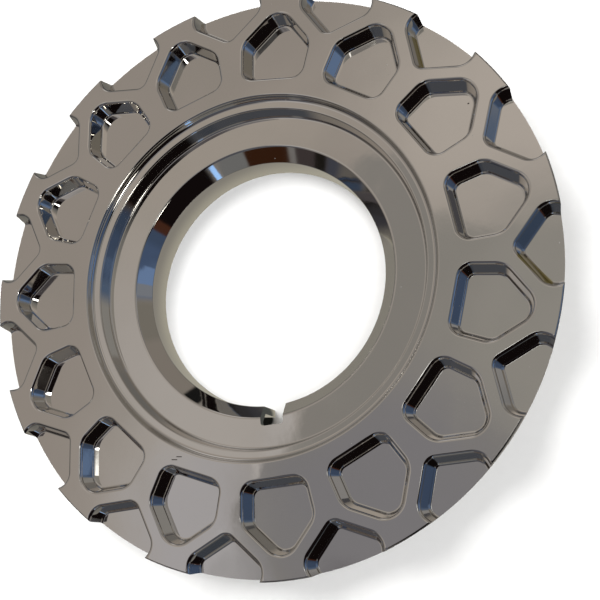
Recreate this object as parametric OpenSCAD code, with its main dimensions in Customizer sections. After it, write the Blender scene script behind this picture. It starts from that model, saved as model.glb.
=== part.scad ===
// Open wheel center cap: one moulded, plated shell. A sloping face with pockets steps down to a
// recessed ring, and a tapered throat leads into a short round collar that is open right through.
// The cap lies on its back. The origin is on the bore axis, on the end of the collar, and +Z is
// the way the face looks.

/* [Shell] */
// Outer diameter, across the lands at the rim
rim_d = 204; // [200:1:214]
// Wall thickness of the moulding
wall = 2.5; // [1.8:0.1:2.8]
// Fall of the face towards the rim, in degrees
face_fall = 3; // [0:0.5:5]
// Inward lean of the rim's skirt, in degrees
rim_lean = 8.5; // [2:0.5:12]

/* [Steps] */
// Diameter of the face's inner edge
step_d = 126.4; // [123:0.2:128]
// Depth of the first step, from the face to the narrow ring
step_depth = 2.5; // [1.5:0.1:3.2]
// Diameter of the narrow ring's inner edge
ring_d = 118.6; // [114:0.2:119.2]
// Depth of the second step, from the narrow ring to the recessed ring
pan_depth = 5; // [3.5:0.1:6.5]
// Diameter of the recessed ring's inner edge
pan_d = 95.6; // [93:0.2:106]
// Lean of the two step walls, in degrees
step_lean = 12; // [4:1:20]

/* [Bore] */
// Diameter of the bore through the collar
bore_d = 86.4; // [80:0.2:88]
// Depth of the tapered throat, from the recessed ring to the collar
throat_depth = 4.5; // [3:0.1:6]
// Height of the collar's straight bore
collar_h = 10.5; // [6:0.5:14]
// Width of the notch through the collar and the throat
notch_w = 8; // [5:0.5:12]
// How far the notch runs into the recessed ring
notch_reach = 2.6; // [1.5:0.1:5]
// Direction of the notch, in degrees from +X
notch_dir = 281; // [270:0.5:300]

/* [Pockets] */
// Number of closed pockets, and of open pockets in the rim between them
pocket_count = 15; // [13:1:15]
// Depth of every pocket below the face
pocket_depth = 6.2; // [4:0.1:7]
// Draft of the pocket walls, in degrees
draft = 15; // [8:1:20]
// From the rim to the rounded tip of a closed pocket
tip_inset = 7.3; // [6.5:0.1:9]
// Length of a closed pocket, from its flat inner edge to its tip
pocket_len = 26.2; // [22:0.2:26.6]
// Width of a closed pocket across its shoulders, before rounding
pocket_w = 27; // [24:0.2:27.6]
// Width of a closed pocket along its flat inner edge, before rounding
pocket_base_w = 23.4; // [19:0.2:24.4]
// Angle between the two sides that meet at the tip, in degrees
tip_angle = 83; // [74:1:88]
// Width of the face between a closed pocket and the rim pocket beside it
web = 3.1; // [2.6:0.1:4.5]
// Width of a rim pocket across its shoulders, before rounding
rim_pocket_w = 29.4; // [26.4:0.2:30]
// Width of a rim pocket's mouth at the rim
mouth_w = 27; // [24:0.1:27.8]

/* [Rounding] */
// Radius of a closed pocket's tip
tip_round = 7.4; // [5:0.2:8]
// Radius of a closed pocket's shoulders
shoulder_round = 7.4; // [5:0.2:8]
// Radius of a closed pocket's inner corners
base_round = 5.4; // [4.6:0.2:6]
// Radius of a rim pocket's inner tip
rim_tip_round = 4.4; // [4:0.1:5]
// Radius of a rim pocket's shoulders
rim_shoulder_round = 6.4; // [4.2:0.2:6.8]
// Edge radius round the mouth of every pocket
lip_round = 1.2; // [0.6:0.1:1.4]
// Fillet between a pocket's wall and its floor
floor_round = 0.9; // [0.5:0.1:1.2]

/* [Hidden] */
$fn = 96;

// Levels and radii that follow from the sizes above
rim_r = rim_d / 2;
step_r = step_d / 2;
ring_r = ring_d / 2;
pan_r = pan_d / 2;
bore_r = bore_d / 2;
throat_z = collar_h;
pan_z = throat_z + throat_depth;
ring_z = pan_z + pan_depth;
face_z = ring_z + step_depth;
skirt_lip = 0.5;
floor_back = pocket_depth + wall;
rim_z = face_z - (rim_r - step_r) * tan(face_fall);
skirt_z = rim_z - floor_back - skirt_lip;
pitch = 360 / pocket_count;

// Corner radii of the section
rim_round = 0.6;
step_round = 0.8;
ring_fillet = 1.6;
ring_round = 0.6;
pan_fillet = 0.9;
pan_round = 1.2;
throat_round = 0.6;
back_round = 0.5;
notch_round = 1;
corner_steps = 4;

function unit(v) = v / norm(v);
// The left-hand normal of the line from a to b
function normal(a, b) = let (d = unit(b - a)) [-d.y, d.x];
// The corner b of the path a, b, c, after every side has moved by d to its left
function moved_corner(a, b, c, d) =
    let (m = normal(a, b), n = normal(b, c)) b + (m + n) * d / (1 + m * n);
// The arc of radius r that rounds the corner b of the path a, b, c
function corner_arc(a, b, c, r, steps) =
    let (
        u = unit(a - b), w = unit(c - b),
        half = acos(u * w) / 2,
        centre = b + unit(u + w) * r / sin(half),
        first = b + u * r / tan(half) - centre,
        turn = (180 - 2 * half) * sign(u.y * w.x - u.x * w.y),
        from = atan2(first.y, first.x)
    )
    [for (i = [0:steps]) centre + r * [cos(from + turn * i / steps), sin(from + turn * i / steps)]];
function at(list, i) = list[(i + len(list)) % len(list)];
function flat(p) = [p.x, p.y];
// A closed path of corners [x, y, radius, steps], rounded; radius 0 keeps a corner sharp
function rounded(path) = [
    for (i = [0:len(path) - 1])
        let (a = flat(at(path, i - 1)), b = path[i], c = flat(at(path, i + 1)))
        each (b[2] > 0 ? corner_arc(a, flat(b), c, b[2], b[3]) : [flat(b)])
];
// A closed anticlockwise path with all sides moved inwards by d, and its radii to match
function inset(path, d) = [
    for (i = [0:len(path) - 1])
        let (a = flat(at(path, i - 1)), b = path[i], c = flat(at(path, i + 1)),
             p = moved_corner(a, flat(b), c, d))
        [p.x, p.y, b[2] > 0 ? max(b[2] - d, 0.1) : 0, b[3]]
];

// The section of the shell: the visible side from the rim to the bore, and the back, one wall
// thickness behind it
front = [
    [rim_r - (rim_z - skirt_z) * tan(rim_lean), skirt_z, 0.3],
    [rim_r, rim_z, rim_round],
    [step_r, face_z, step_round],
    [step_r - step_depth * tan(step_lean), ring_z, ring_fillet],
    [ring_r, ring_z, ring_round],
    [ring_r - pan_depth * tan(step_lean), pan_z, pan_fillet],
    [pan_r, pan_z, pan_round],
    [bore_r, throat_z, throat_round],
    [bore_r, 0, 0]
];
last = len(front) - 1;
back = [
    [bore_r + wall, 0, back_round],
    for (i = [last - 1:-1:1])
        let (p = moved_corner(flat(front[i - 1]), flat(front[i]), flat(front[i + 1]), wall))
        [p.x, p.y, back_round],
    [front[0].x - wall, skirt_z, 0.3]
];

module shell() {
    rotate_extrude()
        polygon(rounded([for (p = concat(front, back)) [p.x, p.y, p[2], corner_steps]]));
}

// Height of the face over the distance v from the axis, along a pocket's centre line
function face_at(v) = face_z - (v - step_r) * tan(face_fall);

// A closed pocket's outline: its tip, shoulders and inner corners, anticlockwise, with +Y
// pointing to the rim
tip_half = tip_angle / 2;
apex_v = rim_r - tip_inset + tip_round * (1 / sin(tip_half) - 1);
shoulder_v = apex_v - pocket_w / 2 / tan(tip_half);
base_v = rim_r - tip_inset - pocket_len;
pocket = [
    [0, apex_v, tip_round, 6],
    [-pocket_w / 2, shoulder_v, shoulder_round, 3],
    [-pocket_base_w / 2, base_v, base_round, 3],
    [pocket_base_w / 2, base_v, base_round, 3],
    [pocket_w / 2, shoulder_v, shoulder_round, 3]
];

// A rim pocket's outline: its sides run parallel to those of the closed pockets beside it, one
// web away, and its mouth runs out past the rim
vee_half = tip_half + pitch / 2;
vee_v = (apex_v * sin(tip_half) + web) / sin(vee_half);
vee_shoulder_v = vee_v + rim_pocket_w / 2 / tan(vee_half);
mouth_v = sqrt(pow(rim_r, 2) - pow(mouth_w / 2, 2));
mouth_slope = (mouth_w - rim_pocket_w) / 2 / (mouth_v - vee_shoulder_v);
end_v = rim_r + 6;
end_u = mouth_w / 2 + (end_v - mouth_v) * mouth_slope;
rim_pocket = [
    [0, vee_v, rim_tip_round, 4],
    [rim_pocket_w / 2, vee_shoulder_v, rim_shoulder_round, 3],
    [end_u, end_v, 0, 0],
    [-end_u, end_v, 0, 0],
    [-rim_pocket_w / 2, vee_shoulder_v, rim_shoulder_round, 3]
];
// The same outline with half the steps in its corners, for the hidden back
function coarse(path) = [for (p = path) [p.x, p.y, p[2], ceil(p[3] / 2)]];

// The wall of a pocket in section, as [how far inside the outline, how far below the face]: an
// extension above the face, the rounded lip, the drafted wall and the fillet to the floor
lean = 90 - draft;
wall_run = (pocket_depth - (lip_round + floor_round) * (1 - cos(lean))) * tan(draft);
floor_in = (lip_round + floor_round) * sin(lean) + wall_run;
function lip(a) = [lip_round * sin(a), lip_round * (1 - cos(a))];
function foot(a) = [floor_in - floor_round * sin(a), pocket_depth - floor_round * (1 - cos(a))];
above = -0.3;
cut_levels = [
    [above / tan(lean / 4), above],
    lip(lean / 2), lip(lean),
    foot(lean), foot(0)
];
// The back of a pocket, one wall thickness outside it, from inside the face's wall downwards
side_wall = wall / cos(draft);
boss_edge = 1;
function boss_in(d) = lip(lean).x + (d - lip(lean).y) * tan(draft) - side_wall;
boss_levels = [
    [boss_in(wall / 2), wall / 2],
    [boss_in(floor_back - boss_edge), floor_back - boss_edge],
    [boss_in(floor_back - boss_edge) + boss_edge, floor_back]
];

// A solid through the same outline at several levels, each inset and set below the face
module loft(path, levels) {
    rings = [for (l = levels) [for (p = rounded(inset(path, l[0]))) [p.x, p.y, face_at(p.y) - l[1]]]];
    n = len(rings[0]);
    m = len(rings);
    polyhedron(
        points = [for (ring = rings) each ring],
        faces = [
            [for (j = [n - 1:-1:0]) j],
            for (i = [0:m - 2]) for (j = [0:n - 1])
                [i * n + j, i * n + (j + 1) % n, (i + 1) * n + (j + 1) % n, (i + 1) * n + j],
            [for (j = [0:n - 1]) (m - 1) * n + j]
        ]
    );
}

// Copies of its children about the axis, beginning at +Y turned by half a pitch or not
module around(half_turn) {
    for (k = [0:pocket_count - 1]) rotate((k + half_turn) * pitch) children();
}

// The notch through the throat and the collar, rounded where it ends in the recessed ring
module notch() {
    side = notch_w / 2;
    rotate(notch_dir - 90) translate([0, 0, -1]) linear_extrude(pan_z + 2)
        polygon(rounded([
            [-side, 0, 0, 0],
            [side, 0, 0, 0],
            [side, pan_r + notch_reach, notch_round, corner_steps],
            [-side, pan_r + notch_reach, notch_round, corner_steps]
        ]));
}

module center_cap() {
    color("silver") difference() {
        union() {
            shell();
            around(0) loft(coarse(pocket), boss_levels);
            intersection() {
                around(0.5) loft(coarse(rim_pocket), boss_levels);
                cylinder(h = face_z, r = rim_r - wall);
            }
        }
        around(0) loft(pocket, cut_levels);
        around(0.5) loft(rim_pocket, cut_levels);
        notch();
    }
}

center_cap();
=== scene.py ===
from math import acos, atan2, cos, hypot, pi, radians, sin, sqrt, tan

import bpy
from mathutils import Matrix, Vector


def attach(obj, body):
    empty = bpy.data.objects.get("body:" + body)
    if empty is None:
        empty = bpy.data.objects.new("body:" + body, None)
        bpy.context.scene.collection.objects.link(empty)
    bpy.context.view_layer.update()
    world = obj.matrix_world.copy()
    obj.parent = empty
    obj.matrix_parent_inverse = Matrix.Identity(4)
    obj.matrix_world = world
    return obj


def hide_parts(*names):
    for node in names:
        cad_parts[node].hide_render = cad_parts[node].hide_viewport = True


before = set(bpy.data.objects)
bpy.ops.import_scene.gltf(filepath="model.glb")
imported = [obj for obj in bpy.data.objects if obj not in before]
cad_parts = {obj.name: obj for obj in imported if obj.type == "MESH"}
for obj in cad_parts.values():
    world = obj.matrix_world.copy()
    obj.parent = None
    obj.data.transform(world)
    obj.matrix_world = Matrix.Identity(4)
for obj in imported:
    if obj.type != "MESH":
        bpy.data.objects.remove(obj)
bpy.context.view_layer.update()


# The shell of the cap: one injection moulding of plastic with an even wall. Its face falls away
# from the inner edge to the rim, and inside it two steps, a tapered throat and a straight collar
# go down to the end that the cap rests on.
mm = 0.001
rim_r = 102 * mm
wall = 2.5 * mm
face_fall = radians(3)
rim_lean = radians(8.5)
step_r = 63.2 * mm
step_depth = 2.5 * mm
ring_r = 59.3 * mm
pan_depth = 5 * mm
pan_r = 47.8 * mm
step_lean = radians(12)
bore_r = 43.2 * mm
throat_depth = 4.5 * mm
collar_h = 10.5 * mm
pocket_depth = 6.2 * mm
skirt_lip = 0.5 * mm
skirt_round = 0.3 * mm
back_round = 0.5 * mm
turn_steps = 360
corner_steps = 6
same_place = 0.001 * mm

pan_z = collar_h + throat_depth
ring_z = pan_z + pan_depth
face_z = ring_z + step_depth
rim_z = face_z - (rim_r - step_r) * tan(face_fall)
floor_back = pocket_depth + wall
skirt_z = rim_z - floor_back - skirt_lip


def start_edit(piece):
    """Opens one piece in edit mode, with all of it selected."""
    bpy.ops.object.select_all(action="DESELECT")
    bpy.context.view_layer.objects.active = piece
    piece.select_set(True)
    bpy.ops.object.mode_set(mode="EDIT")
    bpy.ops.mesh.select_all(action="SELECT")


def end_edit():
    """Closes edit mode with every face turned outwards."""
    bpy.ops.mesh.select_all(action="SELECT")
    bpy.ops.mesh.normals_make_consistent(inside=False)
    bpy.ops.object.mode_set(mode="OBJECT")


def moved_corner(a, b, c, d):
    """The corner b of the path a, b, c, after both sides have moved by d to their left."""
    m = (b - a).normalized().orthogonal()
    n = (c - b).normalized().orthogonal()
    return b + (m + n) * d / (1 + m.dot(n))


def corner_arc(a, b, c, radius, steps):
    """The arc that rounds the corner b of the path a, b, c."""
    u, w = (a - b).normalized(), (c - b).normalized()
    half = acos(u.dot(w)) / 2
    centre = b + (u + w).normalized() * radius / sin(half)
    first = b + u * radius / tan(half) - centre
    turn = pi - 2 * half
    if u.y * w.x < u.x * w.y:
        turn = -turn
    return [centre + Matrix.Rotation(turn * i / steps, 2) @ first for i in range(steps + 1)]


def neighbours(path, i):
    """A corner of a path between the one before it and the one after it, as flat points."""
    return [Vector(path[(i + side) % len(path)][:2]) for side in (-1, 0, 1)]


def rounded(path):
    """A closed path of corners (x, y, radius, steps), with every corner rounded."""
    points = []
    for i, (x, y, radius, steps) in enumerate(path):
        points += corner_arc(*neighbours(path, i), radius, steps) if radius else [Vector((x, y))]
    return points


def grown(path, d):
    """A closed anticlockwise path with all its sides moved outwards by d, and its radii to match."""
    return [
        (*moved_corner(*neighbours(path, i), -d), radius + d if radius else 0, steps)
        for i, (_, _, radius, steps) in enumerate(path)
    ]


def outline_piece(name, places, fill="NGON"):
    """A flat outline: a circle with as many points, each of them dragged to its place."""
    bpy.ops.object.select_all(action="DESELECT")
    bpy.ops.mesh.primitive_circle_add(vertices=len(places), fill_type=fill)
    piece = bpy.context.object
    piece.name = name
    for point, place in zip(piece.data.vertices, places):
        point.co = place
    return piece


# The section's corners are (distance from the axis, height, rounding): first the front, from the
# skirt's edge in to the collar's end, and then the back.
front = [
    (rim_r - (rim_z - skirt_z) * tan(rim_lean), skirt_z, skirt_round),
    (rim_r, rim_z, 0.6 * mm),
    (step_r, face_z, 0.8 * mm),
    (step_r - step_depth * tan(step_lean), ring_z, 1.6 * mm),
    (ring_r, ring_z, 0.6 * mm),
    (ring_r - pan_depth * tan(step_lean), pan_z, 0.9 * mm),
    (pan_r, pan_z, 1.2 * mm),
    (bore_r, collar_h, 0.6 * mm),
    (bore_r, 0, 0),
]
back = [(bore_r + wall, 0, back_round)]
for i in range(len(front) - 2, 0, -1):
    back.append((*moved_corner(*neighbours(front, i), wall), back_round))
back.append((front[0][0] - wall, skirt_z, skirt_round))

section = rounded([(*corner, corner_steps) for corner in front + back])
cap = outline_piece("wheel_center_cap", [(p.x, 0, p.y) for p in section], "NOTHING")
start_edit(cap)
bpy.ops.mesh.spin(steps=turn_steps, angle=2 * pi, center=(0, 0, 0), axis=(0, 0, 1))
bpy.ops.mesh.remove_doubles(threshold=same_place)
end_edit()


# The pockets: fifteen closed ones round the face, and between them fifteen that run out through
# the rim. They are sunk in the mould with drafted walls, a rounded lip and a filleted floor, and
# the wall follows them, so that their backs stand out behind the face.
pocket_count = 15
draft = radians(15)
lip_round = 1.2 * mm
floor_round = 0.9 * mm
tip_inset = 7.3 * mm
pocket_len = 26.2 * mm
pocket_w = 27 * mm
pocket_base_w = 23.4 * mm
pocket_round = 7.4 * mm
pocket_base_round = 5.4 * mm
tip_half = radians(83) / 2
web = 3.1 * mm
rim_pocket_w = 29.4 * mm
rim_pocket_round = 6.4 * mm
vee_round = 4.4 * mm
mouth_w = 27 * mm
past_rim = 6 * mm
pitch = 2 * pi / pocket_count

# Each outline's corners are (across, outwards, rounding, steps in the rounding).
apex_v = rim_r - tip_inset + pocket_round * (1 / sin(tip_half) - 1)
shoulder_v = apex_v - pocket_w / 2 / tan(tip_half)
base_v = rim_r - tip_inset - pocket_len
closed_pocket = [
    (0, apex_v, pocket_round, 20),
    (-pocket_w / 2, shoulder_v, pocket_round, 12),
    (-pocket_base_w / 2, base_v, pocket_base_round, 14),
    (pocket_base_w / 2, base_v, pocket_base_round, 14),
    (pocket_w / 2, shoulder_v, pocket_round, 12),
]

vee_half = tip_half + pitch / 2
vee_v = (apex_v * sin(tip_half) + web) / sin(vee_half)
vee_shoulder_v = vee_v + rim_pocket_w / 2 / tan(vee_half)
mouth_v = sqrt(rim_r ** 2 - (mouth_w / 2) ** 2)
mouth_slope = (mouth_w - rim_pocket_w) / 2 / (mouth_v - vee_shoulder_v)
end_v = rim_r + past_rim
end_u = mouth_w / 2 + (end_v - mouth_v) * mouth_slope
rim_pocket = [
    (0, vee_v, vee_round, 16),
    (rim_pocket_w / 2, vee_shoulder_v, rim_pocket_round, 14),
    (end_u, end_v, 0, 0),
    (-end_u, end_v, 0, 0),
    (-rim_pocket_w / 2, vee_shoulder_v, rim_pocket_round, 14),
]

lean = pi / 2 - draft
wall_run = (pocket_depth - (lip_round + floor_round) * (1 - cos(lean))) * tan(draft)
floor_in = (lip_round + floor_round) * sin(lean) + wall_run


def lip(angle):
    """Where the rounded lip of a pocket has turned by an angle: how far in, how far down."""
    return lip_round * sin(angle), lip_round * (1 - cos(angle))


def foot(angle):
    """The same for the fillet at the floor, from the wall's lean down to nothing."""
    return floor_in - floor_round * sin(angle), pocket_depth - floor_round * (1 - cos(angle))


def laid_on_face(piece):
    """Lowers a piece that was made on a flat face: on to the cone of the real face at its lip, and
    on to the plane that the cone's middle line gives at its floor."""
    for corner in piece.data.vertices:
        u, v, z = corner.co
        share = min(max(-z / pocket_depth, 0), 1)
        radius = hypot(u, v) * (1 - share) + v * share
        corner.co.z += face_z - (radius - step_r) * tan(face_fall)


def sunk_piece(name, path, levels):
    """A closed solid under an outline, through levels of (how far in, how far down)."""
    (start_in, start_down), *others = levels
    outline = rounded(grown(path, -start_in))
    piece = outline_piece(name, [(p.x, p.y, -start_down) for p in outline])
    start_edit(piece)
    inward, down = start_in, start_down
    for next_in, next_down in others:
        bpy.ops.mesh.inset(thickness=next_in - inward, depth=down - next_down)
        inward, down = next_in, next_down
    bpy.ops.mesh.select_all(action="SELECT")
    bpy.ops.mesh.fill_holes(sides=0)
    end_edit()
    laid_on_face(piece)
    return piece


def round_the_face(piece, half_turn):
    """Copies of a piece at every pitch, joined into one."""
    copies = [piece]
    for k in range(1, pocket_count):
        copy = piece.copy()
        copy.data = piece.data.copy()
        bpy.context.scene.collection.objects.link(copy)
        copies.append(copy)
    for k, copy in enumerate(copies):
        copy.data.transform(Matrix.Rotation((k + half_turn) * pitch, 4, "Z"))
    bpy.ops.object.select_all(action="DESELECT")
    for copy in copies:
        copy.select_set(True)
    bpy.context.view_layer.objects.active = piece
    bpy.ops.object.join()
    return piece


def combine(piece, other, operation):
    """Joins to a piece, or takes from it, another solid, which is then gone."""
    bpy.ops.object.select_all(action="DESELECT")
    bpy.context.view_layer.objects.active = piece
    bpy.ops.object.modifier_add(type="BOOLEAN")
    change = piece.modifiers[-1]
    change.operation = operation
    change.solver = "MANIFOLD"
    change.object = other
    bpy.ops.object.modifier_apply(modifier=change.name)
    bpy.data.objects.remove(other)


lip_steps = 6
foot_steps = 5
clear = 2 * mm
above = 0.1 * mm
flare = above / tan(lean / lip_steps / 2)
cut_levels = [(-flare - above, -clear), (-flare, -above)]
cut_levels += [lip(lean * i / lip_steps) for i in range(1, lip_steps + 1)]
cut_levels += [foot(lean * i / foot_steps) for i in range(foot_steps, -1, -1)]

side_wall = wall / cos(draft)
boss_edge = 1 * mm
bevel_share = 0.3


def boss_in(down):
    """How far in the back of a pocket's wall is, at a depth below the face."""
    end_in, end_down = lip(lean)
    return end_in + (down - end_down) * tan(draft) - side_wall


edge_in = boss_in(floor_back - boss_edge)
boss_levels = [
    (boss_in(wall / 2), wall / 2),
    (edge_in, floor_back - boss_edge),
    (edge_in + boss_edge * bevel_share, floor_back - boss_edge * bevel_share),
    (edge_in + boss_edge, floor_back),
]

combine(cap, round_the_face(sunk_piece("boss", closed_pocket, boss_levels), 0), "UNION")
rim_bosses = round_the_face(sunk_piece("boss", rim_pocket, boss_levels), 0.5)
bpy.ops.object.select_all(action="DESELECT")
bpy.ops.mesh.primitive_cylinder_add(
    vertices=turn_steps, radius=rim_r - wall, depth=face_z, location=(0, 0, face_z / 2))
combine(rim_bosses, bpy.context.object, "INTERSECT")
combine(cap, rim_bosses, "UNION")
combine(cap, round_the_face(sunk_piece("cut", closed_pocket, cut_levels), 0), "DIFFERENCE")
combine(cap, round_the_face(sunk_piece("cut", rim_pocket, cut_levels), 0.5), "DIFFERENCE")


# The notch: a slot through the throat and the collar, moulded in for a key on the hub. It is
# square at the collar's end and rounded where it runs out in the recessed ring.
notch_w = 8 * mm
notch_reach = 2.6 * mm
notch_round = 1 * mm
notch_azimuth = 281
level_within = radians(1)
smooth_below = radians(30)

notch_path = [
    (-notch_w / 2, 0, 0, 0),
    (notch_w / 2, 0, 0, 0),
    (notch_w / 2, pan_r + notch_reach, notch_round, corner_steps),
    (-notch_w / 2, pan_r + notch_reach, notch_round, corner_steps),
]
notch = outline_piece("notch", [(p.x, p.y, -clear) for p in rounded(notch_path)])
start_edit(notch)
bpy.ops.mesh.extrude_region_move(TRANSFORM_OT_translate={"value": (0, 0, pan_z + 2 * clear)})
end_edit()
notch.data.transform(Matrix.Rotation(radians(notch_azimuth - 90), 4, "Z"))
combine(cap, notch, "DIFFERENCE")


def is_broad(face):
    """Whether a face belongs to the cap's face, a pocket's floor, or one of the two level rings."""
    x, y, _ = face.center
    radius = hypot(x, y)
    fall = face_fall if radius > step_r - lip_round else 0
    true_normal = Vector((x / radius * sin(fall), y / radius * sin(fall), cos(fall)))
    return face.normal.dot(true_normal) > cos(level_within)


start_edit(cap)
bpy.ops.mesh.select_all(action="DESELECT")
bpy.ops.object.mode_set(mode="OBJECT")
for face in cap.data.polygons:
    face.select = is_broad(face)
bpy.ops.object.mode_set(mode="EDIT")
bpy.ops.mesh.mod_weighted_strength(set=True, face_strength="STRONG")
bpy.ops.object.mode_set(mode="OBJECT")
bpy.ops.object.shade_smooth_by_angle(angle=smooth_below)
bpy.ops.object.modifier_add(type="WEIGHTED_NORMAL")
evening = cap.modifiers[-1]
evening.keep_sharp = True
evening.use_face_influence = True
bpy.ops.object.modifier_apply(modifier=evening.name)

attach(cap, "root")
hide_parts("center_cap")


# The plating: copper, nickel and a thin coat of chrome, laid on the moulding in baths. It is a
# mirror all over, with the faint waves of the moulding under it, a thin film left by handling,
# dust, a few small marks on the face and in a pocket, and yellowed stains in two rim pockets.
plating_colour = (0.79, 0.77, 0.74, 1)
film_colour = (0.70, 0.70, 0.66, 1)
plating_roughness = 0.035
film_roughness = 0.11
film_scale = 34
film_share = 0.35
wave_scale = 42
fine_wave_scale = 260
fine_wave_share = 0.04
wave_height = 0.2 * mm
dust_colour = (0.30, 0.29, 0.27, 1)
dust_scale = 900
dust_share = 0.012
dust_roughness = 0.6
dust_cover = 0.7
largest_grain = 0.16
stroke_softness = 0.3
mark_colour = (0.10, 0.09, 0.085, 1)
mark_roughness = 0.3
# Marks and stains are (start, end, half width) in millimetres, seen from the front.
marks = [
    ((-22.3, -64.0), (-20.4, -63.9), 0.15),
    ((-20.6, -62.9), (-18.8, -62.8), 0.15),
    ((67.4, 59.0), (67.6, 59.1), 0.22),
]
stain_colour = (0.44, 0.39, 0.17, 1)
stains = [
    ((88.5, 6.6), (96.5, -0.9), 1.2),
    ((48.0, 82.4), (51.9, 70.4), 0.5),
]


def new_node(tree, kind, **values):
    """Adds a node to a tree, and sets its sockets by their names."""
    node = tree.nodes.new(kind)
    for name, value in values.items():
        node.inputs[name.replace("_", " ").title()].default_value = value
    return node


def math_node(tree, operation, *terms):
    """A Math node, whose terms are sockets or plain numbers. Gives its result."""
    node = tree.nodes.new("ShaderNodeMath")
    node.operation = operation
    for socket, term in zip(node.inputs, terms):
        if isinstance(term, bpy.types.NodeSocket):
            tree.links.new(term, socket)
        else:
            socket.default_value = term
    return node.outputs["Value"]


def between(tree, value, start, end, low=0, high=1):
    """Goes smoothly from low to high while a value goes from start to end."""
    node = new_node(tree, "ShaderNodeMapRange", from_min=start, from_max=end, to_min=low, to_max=high)
    node.interpolation_type = "SMOOTHSTEP"
    tree.links.new(value, node.inputs["Value"])
    return node.outputs["Result"]


def noise(tree, place, scale, detail):
    """Noise of about 1 / scale metres, at a place."""
    node = new_node(tree, "ShaderNodeTexNoise", scale=scale, detail=detail)
    tree.links.new(place, node.inputs["Vector"])
    return node.outputs["Fac"]


def mixed(tree, share, below, above):
    """One colour over another, by a share. Either is a socket or a plain colour."""
    node = tree.nodes.new("ShaderNodeMix")
    node.data_type = "RGBA"
    tree.links.new(share, node.inputs["Factor"])
    for socket, colour in ((node.inputs[6], below), (node.inputs[7], above)):
        if isinstance(colour, bpy.types.NodeSocket):
            tree.links.new(colour, socket)
        else:
            socket.default_value = colour
    return node.outputs[2]


def new_group(name, inputs, outputs):
    """An empty node group with named inputs and outputs, each of them a name and a kind."""
    group = bpy.data.node_groups.new(name, "ShaderNodeTree")
    for label, kind in inputs:
        group.interface.new_socket(label, in_out="INPUT", socket_type=kind)
    for label, kind in outputs:
        group.interface.new_socket(label, in_out="OUTPUT", socket_type=kind)
    return group, group.nodes.new("NodeGroupInput"), group.nodes.new("NodeGroupOutput")


def placed_group(tree, group, place, **values):
    """Puts a group into a material, at its place on the piece."""
    node = tree.nodes.new("ShaderNodeGroup")
    node.node_tree = group
    for name, value in values.items():
        node.inputs[name.replace("_", " ").title()].default_value = value
    tree.links.new(place, node.inputs["Place"])
    return node


dust_group, dust_in, dust_out = new_group(
    "dust",
    [("Place", "NodeSocketVector"), ("Scale", "NodeSocketFloat"), ("Share", "NodeSocketFloat")],
    [("Specks", "NodeSocketFloat")])
grains = new_node(dust_group, "ShaderNodeTexVoronoi")
dust_group.links.new(dust_in.outputs["Place"], grains.inputs["Vector"])
dust_group.links.new(dust_in.outputs["Scale"], grains.inputs["Scale"])
grain_kind = dust_group.nodes.new("ShaderNodeSeparateColor")
dust_group.links.new(grains.outputs["Color"], grain_kind.inputs["Color"])
grain_reach = math_node(dust_group, "MULTIPLY", grain_kind.outputs["Green"], largest_grain)
grain = math_node(dust_group, "LESS_THAN", grains.outputs["Distance"], grain_reach)
kept = math_node(dust_group, "LESS_THAN", grain_kind.outputs["Red"], dust_in.outputs["Share"])
dust_group.links.new(math_node(dust_group, "MULTIPLY", grain, kept), dust_out.inputs["Specks"])

plating = bpy.data.materials.new("chrome_plating")
plating.use_nodes = True
tree = plating.node_tree
shader = tree.nodes["Principled BSDF"]
shader.inputs["IOR"].default_value = 1.5
place = tree.nodes.new("ShaderNodeTexCoord").outputs["Object"]


def stroke(start, end, half_width):
    """A short thin stroke between two points of the piece, seen from the front."""
    start, end, half_width = Vector(start) * mm, Vector(end) * mm, half_width * mm
    along = end - start
    middle = (start + end) / 2
    flat = tree.nodes.new("ShaderNodeVectorMath")
    flat.operation = "MULTIPLY"
    flat.inputs[1].default_value = (1, 1, 0)
    tree.links.new(place, flat.inputs[0])
    turned = tree.nodes.new("ShaderNodeMapping")
    turned.vector_type = "TEXTURE"
    turned.inputs["Location"].default_value = (*middle, 0)
    turned.inputs["Rotation"].default_value = (0, 0, atan2(along.y, along.x))
    tree.links.new(flat.outputs["Vector"], turned.inputs["Vector"])
    sides = tree.nodes.new("ShaderNodeSeparateXYZ")
    tree.links.new(turned.outputs["Vector"], sides.inputs["Vector"])
    lengthwise = math_node(tree, "ABSOLUTE", sides.outputs["X"])
    past_end = math_node(tree, "MAXIMUM", math_node(tree, "SUBTRACT", lengthwise, along.length / 2), 0)
    squares = math_node(
        tree, "ADD",
        math_node(tree, "POWER", past_end, 2),
        math_node(tree, "POWER", math_node(tree, "ABSOLUTE", sides.outputs["Y"]), 2))
    away = math_node(tree, "SQRT", squares)
    return between(
        tree, away, half_width * (1 + stroke_softness), half_width * (1 - stroke_softness))


def strokes(places):
    """All of some strokes as one mask."""
    mask = stroke(*places[0])
    for other in places[1:]:
        mask = math_node(tree, "MAXIMUM", mask, stroke(*other))
    return mask


waves = math_node(
    tree, "ADD",
    noise(tree, place, wave_scale, 1),
    math_node(tree, "MULTIPLY", noise(tree, place, fine_wave_scale, 2), fine_wave_share))
wave_bump = new_node(tree, "ShaderNodeBump", strength=1, distance=wave_height)
tree.links.new(waves, wave_bump.inputs["Height"])
tree.links.new(wave_bump.outputs["Normal"], shader.inputs["Normal"])

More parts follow.
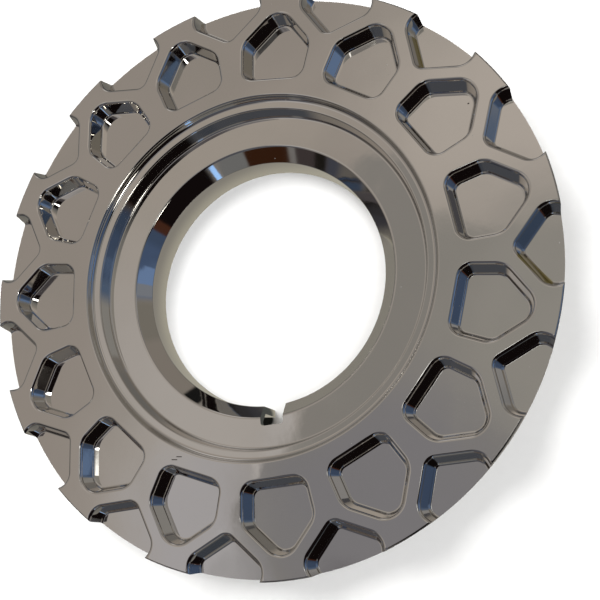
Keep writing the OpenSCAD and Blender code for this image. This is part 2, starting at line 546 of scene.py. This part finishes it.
film = between(tree, noise(tree, place, film_scale, 5), 0.42, 0.78)
specks = placed_group(
    tree, dust_group, place, scale=dust_scale, share=dust_share).outputs["Specks"]
filmed = mixed(tree, math_node(tree, "MULTIPLY", film, film_share), plating_colour, film_colour)
stained = mixed(tree, strokes(stains), filmed, stain_colour)
marked_places = strokes(marks)
marked = mixed(tree, marked_places, stained, mark_colour)
tree.links.new(mixed(tree, specks, marked, dust_colour), shader.inputs["Base Color"])
bare_roughness = between(tree, film, 0, 1, plating_roughness, film_roughness)
marked_roughness = math_node(
    tree, "MAXIMUM", bare_roughness, math_node(tree, "MULTIPLY", marked_places, mark_roughness))
tree.links.new(
    math_node(
        tree, "MAXIMUM", marked_roughness, math_node(tree, "MULTIPLY", specks, dust_roughness)),
    shader.inputs["Roughness"])
tree.links.new(
    math_node(tree, "SUBTRACT", 1, math_node(tree, "MULTIPLY", specks, dust_cover)),
    shader.inputs["Metallic"])
cap.data.materials.clear()
cap.data.materials.append(plating)


# The camera: it looks down on the cap at the photograph's angle, a little from one side.
camera_place = Vector((0.13996, -0.08180, 0.34275))
camera_target = Vector((0.00777, -0.03585, face_z))
camera_roll = radians(5.87)
camera_up = Vector((-sin(camera_roll), cos(camera_roll), 0))
backwards = (camera_place - camera_target).normalized()
rightwards = camera_up.cross(backwards).normalized()
camera_turn = Matrix((rightwards, backwards.cross(rightwards), backwards)).transposed()

camera_data = bpy.data.cameras.new("camera")
camera_data.lens = 63.83
camera_data.sensor_width = 36
camera_data.shift_x = 0.0627
camera_data.shift_y = 0.1339
camera_data.clip_start = 0.01
camera = bpy.data.objects.new("camera", camera_data)
camera.matrix_world = Matrix.Translation(camera_place) @ camera_turn.to_4x4()
bpy.context.scene.collection.objects.link(camera)
bpy.context.scene.camera = camera


# The floor: a plain pale sheet that the cap lies on. To the plating it glows with painted shade, darker
# than it is, as the table of a dim room would be, and darkest at a slant and under the notch.
floor_half = 2.5
paper_dark = (0.86, 0.86, 0.85, 1)
paper_light = (0.90, 0.90, 0.89, 1)
paper_scale = 300
# Painted shade and light that the plating shows of the floor, by distance from the axis: a lighter ring
# just outside the collar, darker farther out.
middle_in_plating = (0.27, 0.255, 0.225, 1)
farther_in_plating = [
    (38, 43.5, (0.42, 0.40, 0.33, 1)),
    (44, 60, (0.26, 0.245, 0.215, 1)),
    (100, 140, (0.06, 0.065, 0.07, 1)),
]
grazing_in_plating = (0.05, 0.05, 0.06, 1)
under_notch_place = (9 * mm, -43.5 * mm, 0)
under_notch_in_plating = (0.075, 0.08, 0.075, 1)
# A painted shadow: a small dark spot in the floor's own colour behind the notch, where the cap's shade
# would fall.
behind_notch_place = (1.8 * mm, -46.6 * mm, 0)
behind_notch_painted_shadow = (0.02, 0.022, 0.02, 1)


def far_from(place, centre):
    """How far each place on the floor is from a centre."""
    node = tree.nodes.new("ShaderNodeVectorMath")
    node.operation = "DISTANCE"
    node.inputs[1].default_value = centre
    tree.links.new(place, node.inputs[0])
    return node.outputs["Value"]


bpy.ops.object.select_all(action="DESELECT")
bpy.ops.mesh.primitive_plane_add(size=2 * floor_half, location=(0, 0, 0))
floor = bpy.context.object
floor.name = "floor"
floor_paper = bpy.data.materials.new("floor_paper")
floor_paper.use_nodes = True
tree = floor_paper.node_tree
shader = tree.nodes["Principled BSDF"]
shader.inputs["Roughness"].default_value = 0.8
shader.inputs["Specular IOR Level"].default_value = 0.2
place = tree.nodes.new("ShaderNodeTexCoord").outputs["Object"]
paper = mixed(tree, noise(tree, place, paper_scale, 3), paper_dark, paper_light)
# The painted shadow behind the notch, in the floor's own colour.
behind_notch = between(tree, far_from(place, behind_notch_place), 3 * mm, 1.8 * mm)
tree.links.new(
    mixed(tree, behind_notch, paper, behind_notch_painted_shadow), shader.inputs["Base Color"])

from_axis = far_from(place, (0, 0, 0))
shade = middle_in_plating
for start, end, farther in farther_in_plating:
    shade = mixed(tree, between(tree, from_axis, start * mm, end * mm), shade, farther)
# Painted shade in the reflection of the floor under the notch.
under_notch = between(tree, far_from(place, under_notch_place), 4.5 * mm, 3 * mm)
shade = mixed(tree, under_notch, shade, under_notch_in_plating)
# Painted shade at a slant. In glossy rays the floor glows with this painted shade in place of its lit
# colour.
slant = new_node(tree, "ShaderNodeLayerWeight", blend=0.5).outputs["Facing"]
shade = mixed(tree, between(tree, slant, 0.82, 0.90), shade, grazing_in_plating)
painted_reflection = tree.nodes.new("ShaderNodeEmission")
tree.links.new(shade, painted_reflection.inputs["Color"])
swap = tree.nodes.new("ShaderNodeMixShader")
tree.links.new(tree.nodes.new("ShaderNodeLightPath").outputs["Is Glossy Ray"], swap.inputs["Fac"])
tree.links.new(shader.outputs["BSDF"], swap.inputs[1])
tree.links.new(painted_reflection.outputs["Emission"], swap.inputs[2])
tree.links.new(swap.outputs["Shader"], tree.nodes["Material Output"].inputs["Surface"])
floor.data.materials.append(floor_paper)


# The lights: two wide soft panels over the floor, which the plating doesn't show because it
# reflects the room. It does show the glints of four small lamps: one that looks at the steps on
# the left, and three that look into the pockets there.
panel_size = 1.8
panels = [
    ("panel_left", (-0.9, 0.8, 1.5), 42),
    ("panel_right", (1.1, -0.5, 1.4), 36),
]
step_lamp_colour = (1, 0.97, 0.88)
pocket_lamp_reach = 300 * mm
pocket_lamp_size = 40 * mm
pocket_lamp_watts = 180e-6
pocket_floor_z = 15 * mm
pocket_lamps = [
    ("pocket_lamp_left", -89 * mm, 10 * mm, (0.130, -0.122, 1)),
    ("pocket_lamp_corner", -54 * mm, 73 * mm, (0.140, -0.096, 1)),
    ("pocket_lamp_low", -78 * mm, -44 * mm, (0.100, -0.060, 1)),
]


def soft_lamp(name, location, aim, size, watts, in_plating, spread):
    """A round or oval lamp that looks at a place, within a spread in degrees."""
    lamp_data = bpy.data.lights.new(name, "AREA")
    lamp_data.shape = "ELLIPSE"
    lamp_data.size, lamp_data.size_y = size
    lamp_data.energy = watts
    lamp_data.spread = radians(spread)
    lamp = bpy.data.objects.new(name, lamp_data)
    back = (Vector(location) - Vector(aim)).to_track_quat("Z", "Y")
    lamp.matrix_world = Matrix.Translation(location) @ back.to_matrix().to_4x4()
    lamp.visible_glossy = in_plating
    lamp.visible_camera = False
    bpy.context.scene.collection.objects.link(lamp)
    return lamp_data


for name, location, watts in panels:
    soft_lamp(name, location, (0, 0, 0), (panel_size, panel_size), watts, False, 180)
step_lamp = soft_lamp(
    "step_lamp", (0.030, -0.019, 0.134), (-0.062, 0.035, face_z), (0.030, 0.040), 460e-6, True, 20)
step_lamp.color = step_lamp_colour
for name, x, y, towards in pocket_lamps:
    target = Vector((x, y, pocket_floor_z))
    above_pocket = target + Vector(towards).normalized() * pocket_lamp_reach
    size = (pocket_lamp_size, pocket_lamp_size)
    soft_lamp(name, above_pocket, target, size, pocket_lamp_watts, True, 10)


# The room: what the plating reflects, by direction. It has a pale ceiling with a darker panel
# overhead, beige walls, and dark and blue things on the camera's side. Each card is (azimuth from
# +X towards +Y, tilt from straight up, half width, half height, softness), all in degrees, and a
# colour, and covers the ones before it.
room_colour = (0.22, 0.205, 0.19, 1)
backdrop_colour = (0.90, 0.90, 0.90, 1)
cards = [
    # the ceiling with its lighter places, and the darker panel in it with its bright edge
    (157, 30, 32, 30, 18, (0.33, 0.295, 0.265, 1)),
    (94, 27, 12, 9, 8, (0.49, 0.443, 0.40, 1)),
    (142, 32, 9, 3.5, 3, (0.39, 0.35, 0.31, 1)),
    (182, 26, 14, 7, 6, (0.45, 0.42, 0.395, 1)),
    (199, 27, 7, 4, 2.5, (0.43, 0.415, 0.425, 1)),
    (170, 5, 17.2, 16, 0.7, (0.257, 0.243, 0.226, 1)),
    (80, 10, 9, 9, 5, (0.31, 0.295, 0.27, 1)),
    (203, 13.1, 4.6, 10.4, 0.35, (0.257, 0.243, 0.226, 1)),
    (207, 23.2, 3.2, 1.1, 0.35, (0.31, 0.30, 0.31, 1)),
    (213, 12, 10, 9, 4, (0.228, 0.221, 0.234, 1)),
    (176, 21.8, 5, 0.5, 0.4, (0.48, 0.455, 0.44, 1)),
    (203, 24.9, 3.5, 0.45, 0.4, (0.47, 0.46, 0.475, 1)),
    # the walls, and what stands against them
    (60, 74, 34, 16, 4, (0.23, 0.205, 0.18, 1)),
    (40, 66, 11, 7, 3, (0.195, 0.18, 0.155, 1)),
    (40, 53, 14, 3.5, 1.5, (0.31, 0.305, 0.295, 1)),
    (85, 46, 14, 5, 3, (0.19, 0.185, 0.18, 1)),
    (36, 45, 6, 5, 1.5, (0.33, 0.325, 0.33, 1)),
    (53, 44, 7, 5, 1.5, (0.08, 0.08, 0.09, 1)),
    (110, 66, 8, 12, 5, (0.55, 0.52, 0.50, 1)),
    (152, 70, 22, 8, 5, (0.30, 0.285, 0.275, 1)),
    # the darker end of the ceiling, over the camera's side
    (350, 30, 18, 20, 8, (0.12, 0.13, 0.145, 1)),
    (-112, 24, 11, 11, 2, (0.085, 0.078, 0.085, 1)),
    (-108, 46, 23, 14, 4, (0.08, 0.087, 0.105, 1)),
    (-76, 52, 9, 6, 2, (0.06, 0.07, 0.09, 1)),
    # the blue things to the right of the camera
    (10, 68, 13, 26, 4, (0.10, 0.15, 0.25, 1)),
    (-12, 66, 10, 30, 3, (0.05, 0.075, 0.13, 1)),
    (3, 50, 11, 10, 3, (0.062, 0.094, 0.17, 1)),
    (19.5, 63, 4, 4.5, 1, (0.20, 0.215, 0.245, 1)),
    (10.5, 63, 5, 4.7, 0.5, (0.15, 0.23, 0.40, 1)),
    # the dark behind the camera
    (-48, 52, 21, 46, 3, (0.006, 0.004, 0.004, 1)),
    (-23, 55, 2.9, 3.2, 0.8, (0.06, 0.022, 0.012, 1)),
    # the grey, brown and dark things to its left, and the low ones farther round
    (-87.5, 71, 8.1, 10.3, 0.7, (0.165, 0.165, 0.165, 1)),
    (-109, 71.5, 11.6, 9, 1, (0.035, 0.013, 0.006, 1)),
    (-140, 76, 16, 12, 4, (0.05, 0.04, 0.04, 1)),
    (-123.5, 72, 1.6, 6, 0.5, (0.19, 0.18, 0.175, 1)),
    (-138.5, 78, 2.6, 8, 0.8, (0.012, 0.010, 0.008, 1)),
    (-149, 82, 7, 7, 2, (0.055, 0.058, 0.075, 1)),
    (89, 84, 4, 4, 1, (0.01, 0.01, 0.01, 1)),
    (195, 84, 16, 8, 3, (0.12, 0.11, 0.10, 1)),
    # the small window, and the lamp overhead
    (-75.2, 64.5, 1.5, 5.3, 0.4, (0.42, 0.72, 1.25, 1)),
    (0, 2.8, 2.2, 3, 0.8, (1.7, 1.7, 1.65, 1)),
]

card_group, card_in, card_out = new_group(
    "card",
    [("Place", "NodeSocketVector")] + [
        (label, "NodeSocketFloat") for label in ("Azimuth", "Tilt", "Width", "Height", "Softness")],
    [("Share", "NodeSocketFloat")])


def turned_back(vector, axis, angle):
    """Turns a direction about an axis by an angle in degrees."""
    node = card_group.nodes.new("ShaderNodeVectorRotate")
    node.rotation_type = axis
    card_group.links.new(vector, node.inputs["Vector"])
    card_group.links.new(math_node(card_group, "MULTIPLY", angle, -pi / 180), node.inputs["Angle"])
    return node.outputs["Vector"]


def inside(value, half, soft):
    """One between plus and minus half, and nothing past that, with a soft edge. In degrees."""
    reach = math_node(card_group, "MULTIPLY", math_node(card_group, "ABSOLUTE", value), 180 / pi)
    edge = card_group.nodes.new("ShaderNodeMapRange")
    edge.interpolation_type = "SMOOTHSTEP"
    card_group.links.new(reach, edge.inputs["Value"])
    card_group.links.new(math_node(card_group, "ADD", half, soft), edge.inputs["From Min"])
    card_group.links.new(math_node(card_group, "SUBTRACT", half, soft), edge.inputs["From Max"])
    return edge.outputs["Result"]


facing = turned_back(
    turned_back(card_in.outputs["Place"], "Z_AXIS", card_in.outputs["Azimuth"]),
    "Y_AXIS", card_in.outputs["Tilt"])
parts = card_group.nodes.new("ShaderNodeSeparateXYZ")
card_group.links.new(facing, parts.inputs["Vector"])
across = math_node(card_group, "ARCTAN2", parts.outputs["Y"], parts.outputs["Z"])
along = math_node(card_group, "ARCTAN2", parts.outputs["X"], parts.outputs["Z"])
soft = card_in.outputs["Softness"]
card_group.links.new(
    math_node(
        card_group, "MULTIPLY",
        inside(across, card_in.outputs["Width"], soft), inside(along, card_in.outputs["Height"], soft)),
    card_out.inputs["Share"])

room = bpy.data.worlds.new("room")
bpy.context.scene.world = room
room.use_nodes = True
tree = room.node_tree
sky = tree.nodes["Background"]
direction = tree.nodes.new("ShaderNodeTexCoord").outputs["Generated"]
colour = tree.nodes.new("ShaderNodeRGB").outputs["Color"]
colour.default_value = room_colour
for azimuth, tilt, width, height, softness, card_colour in cards:
    card = placed_group(
        tree, card_group, direction,
        azimuth=azimuth, tilt=tilt, width=width, height=height, softness=softness)
    colour = mixed(tree, card.outputs["Share"], colour, card_colour)
seen = tree.nodes.new("ShaderNodeLightPath").outputs["Is Camera Ray"]
tree.links.new(mixed(tree, seen, colour, backdrop_colour), sky.inputs["Color"])

bpy.context.scene.view_settings.view_transform = "Standard"
